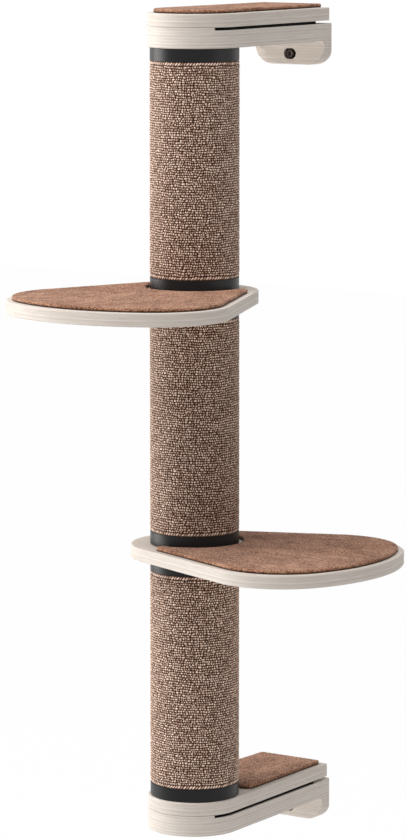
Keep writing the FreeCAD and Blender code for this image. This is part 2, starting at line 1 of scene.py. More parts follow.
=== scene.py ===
"""Looks for a wall mounted cat tree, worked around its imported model.

Woven sisal sleeves, carpet mats and threaded wall screws are made here as surfaces of two
parameters. Plywood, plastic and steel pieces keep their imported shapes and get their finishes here.
All lengths are in metres. +X runs along the wall, +Y points into the wall and +Z is up.
"""

import json
import math

import bmesh
import bpy
import numpy as np
from bpy.props import FloatProperty, FloatVectorProperty, PointerProperty
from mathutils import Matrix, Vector


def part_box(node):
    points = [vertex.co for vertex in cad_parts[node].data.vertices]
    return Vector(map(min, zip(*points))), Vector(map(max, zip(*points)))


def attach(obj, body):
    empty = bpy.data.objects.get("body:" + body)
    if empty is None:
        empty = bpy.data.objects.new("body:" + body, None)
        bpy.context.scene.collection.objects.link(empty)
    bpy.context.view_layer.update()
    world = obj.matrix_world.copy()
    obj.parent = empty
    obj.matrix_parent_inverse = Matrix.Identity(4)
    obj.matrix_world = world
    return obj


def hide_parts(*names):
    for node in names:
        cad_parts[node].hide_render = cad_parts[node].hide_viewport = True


bl_info = {
    "name": "Wall Mounted Cat Tree",
    "version": (1, 0, 0),
    "blender": (4, 5, 0),
    "location": "3D View > Sidebar > Cat Tree",
    "description": "Weaves, covers and finishes a wall mounted cat tree",
    "category": "Object",
}

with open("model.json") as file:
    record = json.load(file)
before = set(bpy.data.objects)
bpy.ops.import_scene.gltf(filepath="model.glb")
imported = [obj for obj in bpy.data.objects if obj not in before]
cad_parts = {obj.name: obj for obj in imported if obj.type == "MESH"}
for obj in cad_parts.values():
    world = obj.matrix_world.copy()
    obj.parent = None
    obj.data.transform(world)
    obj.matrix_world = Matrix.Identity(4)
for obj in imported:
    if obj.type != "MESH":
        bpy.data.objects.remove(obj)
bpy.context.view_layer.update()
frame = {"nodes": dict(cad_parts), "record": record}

MM = 0.001
SEGMENTS = ("lower", "middle", "upper")
MIX_FACTOR, MIX_A, MIX_B, MIX_RESULT = 0, 6, 7, 2     # sockets of a Mix node that blends colours


# ---------------------------------------------------------------- colours and nodes

def linear(code):
    """An sRGB hex colour as linear red, green and blue."""
    channels = [int(code[i:i + 2], 16) / 255 for i in (0, 2, 4)]
    return tuple(c / 12.92 if c <= 0.04045 else ((c + 0.055) / 1.055) ** 2.4 for c in channels)


def rgba(colour):
    """A linear colour with full opacity."""
    return (*colour[:3], 1.0)


def feed(tree, node, links):
    """Gives each named socket of a node its value, or a link from another node or socket."""
    for socket, value in links.items():
        if isinstance(value, bpy.types.Node):
            value = next(output for output in value.outputs if output.enabled)
        if isinstance(value, bpy.types.NodeSocket):
            tree.links.new(value, node.inputs[socket])
        else:
            node.inputs[socket].default_value = value


def add(tree, kind, links=None, stops=(), **settings):
    """Adds one shader node with its settings and links.

    A colour ramp takes stops, each a place from 0 to 1 and a linear colour.
    """
    made = tree.nodes.new("ShaderNode" + kind)
    for name, value in settings.items():
        setattr(made, name, value)
    if stops:
        elements = made.color_ramp.elements
        for _ in stops[2:]:
            elements.new(0.5)
        for element, (place, colour) in zip(elements, stops):
            element.position, element.color = place, rgba(colour)
    feed(tree, made, links or {})
    return made


def weighted(tree, *parts):
    """Sum of values, each times its weight."""
    total = 0.0
    for value, weight in parts:
        total = add(tree, "Math", {0: value, 1: weight, 2: total}, operation="MULTIPLY_ADD")
    return total


def background_rays(tree):
    """1 for rays from the camera, a reflection or a clear piece, and 0 for rays that give light."""
    path = add(tree, "LightPath")
    rays = [path.outputs["Is %s Ray" % kind] for kind in ("Camera", "Glossy", "Transmission")]
    mirrored = add(tree, "Math", {0: rays[1], 1: rays[2]}, operation="MAXIMUM")
    return add(tree, "Math", {0: rays[0], 1: mirrored}, operation="MAXIMUM")


def new_material(name, **sockets):
    """A material whose shader's own sockets take what is the same all over it."""
    made = bpy.data.materials.new(name)
    made.use_nodes = True
    shader = made.node_tree.nodes["Principled BSDF"]
    for socket, value in sockets.items():
        shader.inputs[socket.replace("_", " ")].default_value = value
    return made, made.node_tree, shader


def height_on(tree):
    """Height of a point of a piece above the origin."""
    return add(tree, "SeparateXYZ", {0: add(tree, "TexCoord").outputs["Object"]}).outputs["Z"]


def patterns(tree, *sizes, heading=0.0, centre=(0, 0, 0)):
    """Uneven patterns that cover a piece, from a centre and turned to run along its heading.

    Each size is one repeat of a pattern along, across and up in millimetres, its detail and its
    roughness.
    """
    coordinates = add(tree, "TexCoord").outputs["Object"]
    moved = add(tree, "Mapping", {"Vector": coordinates, "Location": [-c for c in centre]})
    turned = add(tree, "Mapping", {"Vector": moved, "Rotation": (0, 0, -heading)})
    made = []
    for *repeat, detail, roughness in sizes:
        per_metre = [1 / (x * MM) for x in repeat]
        counted = add(tree, "VectorMath", {0: turned, 1: per_metre}, operation="MULTIPLY")
        made.append(add(tree, "TexNoise", {
            "Vector": counted, "Scale": 1.0, "Detail": detail, "Roughness": roughness}))
    return made


# ---------------------------------------------------------------- settings

def colour_setting(name, description, code):
    """A colour in the panel, from an sRGB hex colour."""
    return FloatVectorProperty(
        name=name, description=description, subtype="COLOR", size=3, min=0, max=1,
        default=linear(code))


def length_setting(name, description, millimetres):
    """A length in the panel."""
    return FloatProperty(
        name=name, description=description, default=millimetres * MM, min=0, unit="LENGTH",
        subtype="DISTANCE")


class CatTreeSisal(bpy.types.PropertyGroup):
    loop_pitch: length_setting("Loop pitch", "Width of one woven loop round the column", 3.5)
    row_pitch: length_setting("Row pitch", "Height of one woven row", 3.2)
    loop_depth: length_setting(
        "Loop depth", "How far a loop stands out over the gaps between loops", 1.5)
    binding: length_setting(
        "Binding", "Height of the slanted stitches at each end of a sleeve", 5.5)
    # the loop colour is partly a painted highlight on the crowns, and the gap colour is painted
    # shade
    light: colour_setting("Loop", "Palest yarn, on the crown of a loop", "FCE6D4")
    middle: colour_setting("Yarn", "Body of the yarn", "AC8470")
    dark: colour_setting("Gap", "Deep gaps between loops", "22130D")


class CatTreeCarpet(bpy.types.PropertyGroup):
    point_spacing: length_setting(
        "Point spacing", "Distance between points of a mat's surface", 2.0)
    pile: length_setting("Pile", "Unevenness of the pile", 0.45)
    edge_round: length_setting("Edge round", "Rounding of a mat's upper edge", 1.9)
    light: colour_setting("Pile tips", "Lightest fibres", "CBA186")
    middle: colour_setting("Pile", "Body of the pile", "9C6E54")
    dark: colour_setting("Pile roots", "Darkest fibres", "583726")


class CatTreeTimber(bpy.types.PropertyGroup):
    ply: length_setting("Ply", "Thickness of one layer of the plywood", 2.0)
    wash: colour_setting("Whitewash", "Whitewashed face", "E3DBD3")
    grain: colour_setting("Grain", "Birch grain that shows through the whitewash", "D6CBC0")
    edge_light: colour_setting("Long grain edge", "Plies whose grain runs along the edge", "DDD6CF")
    edge_dark: colour_setting("End grain edge", "Plies that show their end grain", "C2B7AC")


class CatTreeStage(bpy.types.PropertyGroup):
    azimuth: FloatProperty(
        name="Azimuth", description="Camera's direction round the column, from straight in front",
        default=math.radians(34.129), unit="ROTATION", subtype="ANGLE")
    elevation: FloatProperty(
        name="Elevation", description="Camera's height angle", default=math.radians(5.744),
        unit="ROTATION", subtype="ANGLE")
    distance: length_setting("Distance", "From the camera to the point that it looks at", 5333.8)
    aim_right: length_setting(
        "Aim to the right", "The point looked at, to the right of the column", 11.3)
    aim_height: length_setting("Aim height", "The point looked at, above the origin", 790.15)
    focal_length: FloatProperty(
        name="Focal length", description="In millimetres, on a frame whose long side is 36 mm",
        default=170.3, min=1, unit="CAMERA")
    shift: FloatProperty(
        name="Shift", description="Share of the frame that the view moves down by", default=0.2)
    key_power: FloatProperty(
        name="Key power", description="Large soft lamp at the upper left", default=255,
        unit="POWER")
    side_power: FloatProperty(
        name="Side power", description="Soft lamp at the left", default=46, unit="POWER")
    top_power: FloatProperty(
        name="Top power", description="Soft lamp overhead, a little in front", default=50,
        unit="POWER")
    fill_power: FloatProperty(
        name="Fill power", description="Weak soft lamp at the right", default=4, unit="POWER")
    sky: FloatProperty(name="Sky", description="Even light from all round", default=0.38, min=0)
    floor_drop: length_setting("Floor drop", "From the origin down to the floor", 450)


# ---------------------------------------------------------------- finishes

# A pattern's weights and a ramp's stops are shares from 0 to 1.

PLY_WAVER = 1.2 * MM                   # how far a layer's edge strays from level
PLY_SEAM_SHARE = 0.16                  # share of a layer that its glue line darkens
FOOT_SHADE_BAND = (0.8 * MM, 2.8 * MM)       # heights on a mat's rim over which the painted contact shade fades out upwards
EDGE_TO_FACE = (0.75, 0.92)            # upright part of the normal where an edge becomes a face
FOOT_SHADE_COLOUR, FOOT_SHADE_PILE_SHARE = "1C110C", 0.12      # painted contact shade at a mat's foot, and how much pile colour shows through it
YARN_PER_LOOP = (1 / 0.3, 1 / 0.35, 1.0)     # repeats of the yarn's own twist, across and up a loop
LOOP_SHARPNESS = (("X", 1.1), ("Y", 1.2))    # the painted highlight on a loop's crown falls off faster the higher it is
LOOP_TONE, LOOP_TONE_SPREAD, TWIST_WEIGHT = 0.58, 0.65, 0.30


def plywood(settings, name, heading, box):
    """Birch plywood, sanded and whitewashed.

    The eye sees an almost white matt face with faint long grain, and thin level layers along each
    edge, every second one a little darker because it shows its end grain. Real plies are 1.4 mm,
    and are drawn thicker because those would not show.
    """
    made, tree, shader = new_material(name, Roughness=0.6, Specular_IOR_Level=0.3)
    low, high = box
    waver, streak, fleck, fibre, figure = patterns(
        tree, (60, 60, 60, 2, 0.5), (34, 34, 1.5, 3, 0.5), (2.4, 2.4, 1.1, 2, 0.5),
        (90, 1.6, 90, 4, 0.6), (260, 22, 260, 3, 0.5),
        heading=heading, centre=((low.x + high.x) / 2, (low.y + high.y) / 2, low.z))
    above = add(tree, "Math", {0: height_on(tree), 1: low.z}, operation="SUBTRACT")
    wavy = add(tree, "Math", {0: waver, 1: PLY_WAVER, 2: above}, operation="MULTIPLY_ADD")
    layer = add(tree, "Math", {0: wavy, 1: settings.ply}, operation="DIVIDE")
    number = add(tree, "Math", {0: layer}, operation="FLOOR")
    tone = add(tree, "TexWhiteNoise", {"W": number}, noise_dimensions="1D")
    second = add(tree, "Math", {0: number, 1: 2.0}, operation="MODULO")
    within = add(tree, "Math", {0: layer}, operation="FRACT")
    seam = add(tree, "Math", {0: within, 1: PLY_SEAM_SHARE}, operation="LESS_THAN")
    shade = weighted(
        tree, (second, 0.12), (tone, 0.22), (streak, 0.70), (fleck, 0.25), (seam, 0.09))
    edge = add(
        tree, "ValToRGB", {"Fac": shade},
        stops=((0.40, settings.edge_light), (1.0, settings.edge_dark)))
    face = add(
        tree, "ValToRGB", {"Fac": weighted(tree, (fibre, 0.7), (figure, 0.5))},
        stops=((0.42, settings.grain), (0.72, settings.wash)))
    normal = add(tree, "SeparateXYZ", {0: add(tree, "NewGeometry").outputs["Normal"]}).outputs["Z"]
    upright = add(tree, "Math", {0: normal}, operation="ABSOLUTE")
    level = add(tree, "MapRange", {
        "Value": upright, "From Min": EDGE_TO_FACE[0], "From Max": EDGE_TO_FACE[1]})
    colour = add(tree, "Mix", {MIX_FACTOR: level, MIX_A: edge, MIX_B: face}, data_type="RGBA")
    relief = add(tree, "Bump", {"Height": shade, "Distance": 0.10 * MM, "Strength": 1.0})
    feed(tree, shader, {"Base Color": colour.outputs[MIX_RESULT], "Normal": relief})
    return made


def carpet(settings, name, heading, box):
    """Needled carpet with a short brown pile.

    The eye sees a matt, slightly streaked brown whose fibres catch a soft sheen at a low angle.
    Along the foot of the rim the colour darkens as painted contact shade. Fibres are far finer than
    a picture shows, so the pile is drawn in tufts about 2 mm wide.
    """
    made, tree, shader = new_material(
        name, Roughness=0.95, Specular_IOR_Level=0.15, Sheen_Weight=0.15, Sheen_Roughness=0.4)
    low, high = box
    tuft, streak, patch = patterns(
        tree, (2.1, 1.6, 1.6, 1, 0.6), (20, 3.4, 4, 2, 0.5), (60, 45, 60, 1, 0.5),
        heading=heading, centre=(low + high) / 2)
    pile = add(
        tree, "ValToRGB", {"Fac": weighted(tree, (tuft, 0.78), (streak, 0.26), (patch, 0.22))},
        stops=((0.49, settings.dark), (0.62, settings.middle), (0.76, settings.light)))
    # painted contact shade: the pile's colour darkens towards the mat's foot along its rim
    above_foot_shade = add(tree, "MapRange", {
        "Value": height_on(tree), "To Min": FOOT_SHADE_PILE_SHARE,
        "From Min": low.z + FOOT_SHADE_BAND[0], "From Max": low.z + FOOT_SHADE_BAND[1]})
    foot_shaded = add(
        tree, "Mix", {MIX_FACTOR: above_foot_shade, MIX_A: rgba(linear(FOOT_SHADE_COLOUR)), MIX_B: pile},
        data_type="RGBA")
    relief = add(tree, "Bump", {"Height": tuft, "Distance": 0.6 * MM, "Strength": 1.0})
    feed(tree, shader, {"Base Color": foot_shaded.outputs[MIX_RESULT], "Normal": relief})
    return made


def sisal(settings):
    """Sisal yarn woven in level rows of short loops.

    The eye sees small pale dashes in rows over dark gaps, and stray fibres that lighten the column
    along its sides. The colour is painted darker towards the gaps between loops as painted shade and
    paler on each loop's crown as a painted highlight, over each loop's own tone and the yarn's
    twist. The piece's map counts loops and rows, so the fraction of each gives the place in a loop
    and the whole numbers tell the loops apart.
    """
    made, tree, shader = new_material(
        "woven_sisal", Roughness=0.85, Specular_IOR_Level=0.2, Sheen_Weight=0.45,
        Sheen_Roughness=0.5, Sheen_Tint=rgba(settings.light))
    weave = add(tree, "UVMap", uv_map="weave")
    cell = add(tree, "VectorMath", {0: weave}, operation="FLOOR")
    within = add(tree, "VectorMath", {0: weave}, operation="FRACTION")
    within = add(tree, "SeparateXYZ", {0: within})
    humps = []
    for axis, sharpness in LOOP_SHARPNESS:
        turn = add(tree, "Math", {0: within.outputs[axis], 1: math.pi}, operation="MULTIPLY")
        hump = add(tree, "Math", {0: turn}, operation="SINE")
        humps.append(add(tree, "Math", {0: hump, 1: sharpness}, operation="POWER"))
    loop = add(tree, "Math", dict(enumerate(humps)), operation="MULTIPLY")
    finer = add(tree, "VectorMath", {0: weave, 1: YARN_PER_LOOP}, operation="MULTIPLY")
    twist = add(tree, "TexNoise", {"Vector": finer, "Scale": 1.0})
    chance = add(tree, "TexWhiteNoise", {"Vector": cell}, noise_dimensions="2D")
    bright = add(
        tree, "Math", {0: chance, 1: LOOP_TONE_SPREAD, 2: LOOP_TONE}, operation="MULTIPLY_ADD")
    shade = add(tree, "Math", {0: loop, 1: bright}, operation="MULTIPLY")
    shade = add(tree, "Math", {0: twist, 1: TWIST_WEIGHT, 2: shade}, operation="MULTIPLY_ADD")
    # painted shade in the gaps and painted highlight on the crowns, following each loop's shape
    colour = add(
        tree, "ValToRGB", {"Fac": shade},
        stops=((0.26, settings.dark), (0.60, settings.middle), (1.0, settings.light)))
    relief = add(tree, "Bump", {"Height": shade, "Distance": 0.35 * MM, "Strength": 1.0})
    feed(tree, shader, {"Base Color": colour, "Normal": relief})
    return made


def fine_finish(name, size, relief, colours=(), roughness=(), **sockets):
    """A finish whose colour, roughness and relief, in millimetres, follow one fine pattern.

    Colours are a ramp's stops with hex colours, and roughness is its least and its most.
    """
    made, tree, shader = new_material(name, **sockets)
    pattern, = patterns(tree, size)
    if colours:
        stops = [(place, linear(code)) for place, code in colours]
        feed(tree, shader, {"Base Color": add(tree, "ValToRGB", {"Fac": pattern}, stops=stops)})
    if roughness:
        feed(tree, shader, {"Roughness": add(tree, "MapRange", {
            "Value": pattern, "To Min": roughness[0], "To Max": roughness[1]})})
    feed(tree, shader, {"Normal": add(
        tree, "Bump", {"Height": pattern, "Distance": relief * MM, "Strength": 1.0})})
    return made


def painted_shade_plate():
    """Polypropylene plate in an arm's slot, near-black as painted shade for the dark inside of the
    slot: matt, because the saw leaves its edges rough.
    """
    return fine_finish(
        "black_polypropylene_plate", (3, 3, 0.6, 2, 0.5), 0.05, roughness=(0.70, 0.90),
        Base_Color=rgba(linear("090808")), IOR=1.49, Specular_IOR_Level=0.1)


def moulded_black():
    """Black polypropylene from a finely etched mould: satin, with a dim grey sheen on its rim."""
    return fine_finish(
        "black_polypropylene", (0.8, 0.8, 0.8, 2, 0.5), 0.04, roughness=(0.30, 0.42),
        Base_Color=rgba(linear("0C0B0C")), IOR=1.49, Specular_IOR_Level=0.28)


def moulded_nylon():
    """White nylon, turned and wiped smooth: a soft low gloss with faint tool rings."""
    return fine_finish(
        "white_nylon", (12, 12, 0.5, 2, 0.5), 0.03, colours=((0.3, "DEDCD6"), (0.7, "ECEAE4")),
        IOR=1.53, Roughness=0.42)


def zinc_steel():
    """Bright zinc plated steel: a grey metal with fine drawing marks and slightly uneven gloss."""
    return fine_finish(
        "zinc_plated_steel", (0.5, 0.5, 6, 3, 0.5), 0.02,
        colours=((0.3, "B4B8BC"), (0.7, "CDD0D2")), roughness=(0.25, 0.42), Metallic=1.0)


def oxide_steel():
    """Black oxide steel: almost black, with a dull oily gloss that wears to brown in patches."""
    return fine_finish(
        "black_oxide_steel", (2.5, 2.5, 2.5, 3, 0.5), 0.03,
        colours=((0.35, "2A2625"), (0.75, "4A3E38")), roughness=(0.35, 0.55), Metallic=0.85)


def paper_tube():
    """Wound grey-brown paper board: matt, with fibres that lie round the tube."""
    return fine_finish(
        "wound_paper_tube", (6, 6, 1.2, 4, 0.5), 0.1, colours=((0.3, "8E7557"), (0.7, "AD9271")),
        Roughness=0.9)


# ---------------------------------------------------------------- surfaces

def grid_quads(rows, columns, closed_rows=False, closed_columns=False):
    """Corner numbers of each face of a grid whose point (row, column) is row * columns + column."""
    row = np.arange(rows if closed_rows else rows - 1)[:, None]
    column = np.arange(columns if closed_columns else columns - 1)[None, :]
    above, beside = (row + 1) % rows, (column + 1) % columns
    here, over = row * columns, above * columns
    corners = [here + column, here + beside, over + beside, over + column]
    size = (row.size, column.size)
    return np.stack([np.broadcast_to(corner, size) for corner in corners], -1).reshape(-1, 4)


def new_piece(name, points, faces, body, material, replaced):
    """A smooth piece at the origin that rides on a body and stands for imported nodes."""
    mesh = bpy.data.meshes.new(name)
    mesh.from_pydata(points.reshape(-1, 3).tolist(), [], [list(map(int, face)) for face in faces])
    mesh.update()
    piece = bpy.data.objects.new(name, mesh)
    bpy.context.scene.collection.objects.link(piece)
    mesh.shade_smooth()
    mesh.materials.append(material)
    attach(piece, body)
    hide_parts(*replaced)
    return piece


def sealed(mesh):
    """Merges coincident points of a closed surface and turns its faces outwards."""
    work = bmesh.new()
    work.from_mesh(mesh)
    bmesh.ops.remove_doubles(work, verts=work.verts, dist=0.002 * MM)
    bmesh.ops.recalc_face_normals(work, faces=work.faces)
    work.to_mesh(mesh)
    work.free()
    mesh.shade_smooth()


def chance(x, y, seed):
    """Hashed value from -1 to 1 for whole numbers: the fraction of a large multiple of a sine."""
    return np.modf(np.sin(x * 127.1 + y * 311.7 + seed * 74.7) * 43758.5453)[0]


def uneven(x, y, size, seed, around=1e6):
    """Smooth field from -1 to 1.

    Values hashed at the corners of square cells, blended by 3t2 - 2t3. Along x it repeats after
    the given number of cells.
    """
    column, row = np.floor(x / size), np.floor(y / size)
    s, t = x / size - column, y / size - row
    s, t = s * s * (3 - 2 * s), t * t * (3 - 2 * t)
    column, beside = np.mod(column, around), np.mod(column + 1, around)
    near = chance(column, row, seed) * (1 - s) + chance(beside, row, seed) * s
    far = chance(column, row + 1, seed) * (1 - s) + chance(beside, row + 1, seed) * s
    return near * (1 - t) + far * t


POINTS_PER_LOOP = 3                    # across one loop, and up one row
POINTS_PER_STITCH = 5                  # up one binding stitch
STITCH_SHARE = 0.85                    # stitches of a binding row, as a share of a row's loops
STITCH_SINK = 0.3 * MM                 # how far a binding row lies in from the others
SLEEVE_PROUD = 0.2 * MM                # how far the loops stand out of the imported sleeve
SLEEVE_WALL = 2.4 * MM
ROW_START = 3                          # a row starts up to this many loops to either side
CROWDING = ((0.3, 9, 6, 0.37), (0.2, 21, 6, 0.71))     # loops, fewest waves, spread, step per row
SWAY = ((0.8 * MM, 16), (0.7 * MM, 45))                # height, cells round the column
LOOP_LIFT = 0.65 * MM
LOOP_HIGH, LOOP_HIGH_SPREAD = 0.85, 0.15               # share of the loop depth that a crown has
NUDGE = 1e-9                           # keeps a height at a row's foot out of the row below


def woven_sleeve(settings, box, seed):
    """Points, faces and map of a woven sleeve: a closed grid of heights by turns.

    u counts loops round the column and v counts rows up it. In a row,
    radius = outside - depth + depth * |sin(pi u)|^0.6 * |sin(pi v)|^0.8 * (0.85 + 0.15 chance).
    Every row starts at its own chance place, and its loops crowd and stretch by two sines with
    whole numbers of waves round the column. Each loop is lifted and tilted by chance, most in the
    middle of its row. The first and last row are taller, with fewer and slanted loops, as stitches
    that bind the edge. Heights waver by two smooth fields that fade at the ends.
    """
    bottom, top = box
    centre = (bottom + top) / 2
    outside = (top.x - bottom.x) / 2 + SLEEVE_PROUD
    length = top.z - bottom.z
    loops = round(2 * math.pi * outside / settings.loop_pitch)
    rows = round((length - 2 * settings.binding) / settings.row_pitch)
    columns = loops * POINTS_PER_LOOP
    end = np.linspace(0, 1, POINTS_PER_STITCH + 1)[:-1]
    v = np.concatenate([
        end, 1 + np.arange(rows * POINTS_PER_LOOP) / POINTS_PER_LOOP, 1 + rows + end, [rows + 2]])
    height = np.interp(
        v, [0, 1, rows + 1, rows + 2], [0, settings.binding, length - settings.binding, length])
    turn = np.arange(columns) / columns
    row = np.minimum(np.floor(v + NUDGE), rows + 1)
    bound = (row == 0) | (row == rows + 1)

    def loop_count(row, v, turn):
        bound = (row == 0) | (row == rows + 1)
        crowd = 0.0
        for size, low, spread, step in CROWDING:
            waves = np.floor(low + spread * (1 + chance(row, low, seed)))
            crowd = crowd + size * np.sin(2 * np.pi * (turn * waves + row * step))
        count = np.where(bound, round(STITCH_SHARE * loops), loops)
        return count * turn + ROW_START * chance(row, 1, seed) + np.where(bound, -v + row, crowd)

    u = loop_count(row[:, None], v[:, None], turn[None, :])
    crown = np.abs(np.sin(np.pi * u)) ** 0.6 * np.abs(np.sin(np.pi * v[:, None])) ** 0.8
    loop = np.floor(u)
    crown = crown * (LOOP_HIGH + LOOP_HIGH_SPREAD * chance(loop, row[:, None], seed))
    radius = outside - settings.loop_depth * (1 - crown) - np.where(bound, STITCH_SINK, 0)[:, None]
    sway = sum(
        share * uneven(turn[None, :] * cells, v[:, None] * cells / loops, 1.0, seed + cells, cells)
        for share, cells in SWAY)
    tilt = chance(loop, row[:, None], seed + 9) * 2 * (u - loop - 0.5)
    lift = chance(loop, row[:, None], seed + 5) + tilt
    lift = lift * np.sin(np.pi * (v - row))[:, None] * LOOP_LIFT
    fade = np.clip(np.minimum(height, length - height) / settings.binding, 0, 1)[:, None]
    z = bottom.z + height[:, None] + (sway + lift) * fade
    angle = 2 * np.pi * turn[None, :]
    bore = np.full((1, columns), outside - SLEEVE_PROUD - SLEEVE_WALL)
    radius = np.concatenate([bore, radius, bore])
    z = np.concatenate([np.full((1, columns), bottom.z), z, np.full((1, columns), top.z)])
    points = np.stack([centre.x + radius * np.cos(angle), centre.y + radius * np.sin(angle), z], -1)
    quads = grid_quads(len(radius), columns, True, True)
    face_row, face_column = np.divmod(np.arange(len(quads)), columns)
    below = np.clip(face_row - 1, 0, len(v) - 1)
    cell = np.minimum(np.floor(v[below] + NUDGE), rows + 1)[:, None]
    up = np.stack([v[below]] * 2 + [v[np.minimum(below + 1, len(v) - 1)]] * 2, 1)
    beside = (face_column[:, None] + np.array([0, 1, 1, 0])) / columns
    return points, quads, np.stack([loop_count(cell, up, beside), up], -1)


ARC_POINTS = 90


def path_of_arcs(arcs):
    """A dense path through arcs, with straights between them.

    Each arc is its centre x and y, its radius, and its start and end in degrees.
    """
    parts = []
    for x, y, radius, start, end in arcs:
        turn = np.radians(np.linspace(start, end, ARC_POINTS))
        parts.append(np.stack([x + radius * np.cos(turn), y + radius * np.sin(turn)], 1))
    return np.concatenate(parts)


def evenly(path, count):
    """Points at even steps along a path."""
    reach = np.concatenate([[0], np.cumsum(np.hypot(*np.diff(path, axis=0).T))])
    at = np.linspace(0, reach[-1], count)
    return np.stack([np.interp(at, reach, path[:, k]) for k in (0, 1)], 1)


def both_halves(half):
    """A path from a mirrored end through the middle to the end of its half."""
    return np.concatenate([half[::-1] * (1, -1), half[1:]])


def tangent(first, along, across, second):
    """Direction in degrees from two circles' centres to the straight line that touches both."""
    way = math.degrees(math.atan2(across, along))
    return way + math.degrees(math.acos((first - second) / math.hypot(along, across)))


def fillet(start, radius, line_angle, line_reach):
    """Centre of an arc that touches the line x = start and a second line.

    The second line is given by its normal's angle and its distance from the origin.
    """
    x = start + radius
    normal = math.radians(line_angle)
    return x, (line_reach - radius - x * math.cos(normal)) / math.sin(normal)


class MatShape:
    """Two long sides of a mat, each at any inset from its edge. X runs along its heading."""

    def __init__(self, first, second, count):
        self.first, self.second, self.count = first, second, count

    def sides(self, inset):
        return evenly(self.first(inset), self.count), evenly(self.second(inset), self.count)


# Outlines of the mats, from the column's axis. "start" is where a cut-out mat begins along its
# heading, and "tip" is the radius of its outer corners there.
ARM = {
    "front": 55 * MM, "half": 49 * MM, "end": 241 * MM, "corner": 5 * MM,
    "start": 55 * MM, "tip": 13 * MM,
}
PLATFORM = {
    "neck": 78 * MM, "shoulder": 93 * MM, "along": 178 * MM, "across": 57 * MM, "front": 216 * MM,
    "start": -8 * MM, "tip": 6 * MM,
}
CUTOUT = 66.5 * MM
NOSE_ANGLE = 178                       # the upper arm's front stays flat for 2 degrees either way


def arm_corner(inset):
    """Corner arc's centre and the side's direction of an arm's mat."""
    along, across = ARM["end"] - ARM["corner"], ARM["half"] - ARM["corner"]
    side = tangent(ARM["front"] - inset, along, across, ARM["corner"] - inset)
    return along, across, side


def upper_arm_shape(count):
    """A whole arm: both long sides from a narrow flat at the round front to the square end."""
    def half(inset):
        along, across, side = arm_corner(inset)
        radius = ARM["front"] - inset
        return path_of_arcs([
            (0, 0, radius, NOSE_ANGLE, side), (along, across, ARM["corner"] - inset, side, 0)])
    return MatShape(half, lambda inset: half(inset) * (1, -1), count)


def cut_round_column(start, inset):
    """Side of a mat along the column's cut-out, from one tip to the other."""
    radius = CUTOUT + inset
    turn = math.degrees(math.acos((start + inset) / radius))
    return both_halves(path_of_arcs([(0, 0, radius, 0, turn)]))


def lower_arm_shape(count):
    """Behind the column: cut-out on one side, tips, long sides and the square end on the other."""
    start, tip = ARM["start"], ARM["tip"]

    def outside(inset):
        along, across, side = arm_corner(inset)
        x, y = fillet(start, tip, side, ARM["front"])
        return both_halves(path_of_arcs([
            (along, across, ARM["corner"] - inset, 0, side), (x, y, tip - inset, side, 180)]))
    return MatShape(lambda inset: cut_round_column(start, inset), outside, count)


def platform_shape(count):
    """A platform: cut-out and tips beside the column, straight flanks, shoulders, bowed front."""
    start, tip = PLATFORM["start"], PLATFORM["tip"]

    def outside(inset):
        neck, shoulder = PLATFORM["neck"] - inset, PLATFORM["shoulder"] - inset
        front, along, across = PLATFORM["front"] - inset, PLATFORM["along"], PLATFORM["across"]
        middle = along - math.sqrt((front - shoulder) ** 2 - across ** 2)
        side = tangent(neck, along, across, shoulder)
        meet = math.degrees(math.atan2(across, along - middle))
        x, y = fillet(start, tip, side, PLATFORM["neck"])
        return both_halves(path_of_arcs([
            (middle, 0, front, 0, meet), (along, across, shoulder, meet, side),
            (x, y, tip - inset, side, 180)]))
    return MatShape(lambda inset: cut_round_column(start, inset), outside, count)


RIM_ANGLES = (22.5, 45, 67.5, 90)      # degrees round a mat's upper edge
RIM_FOOT = ((0.05 * MM, 0.4), (0.35 * MM, 0.0))        # inset, share of the thickness
RIM_FADE = 6 * MM                      # the pile evens out this close to the rim
PILE_FIELDS = ((0.5, 2.2 * MM), (0.3, 5 * MM), (0.5, 38 * MM))     # share and size of unevenness
RAGGED, RAGGED_SIZE = 0.12 * MM, 3 * MM                # up and down along the rim


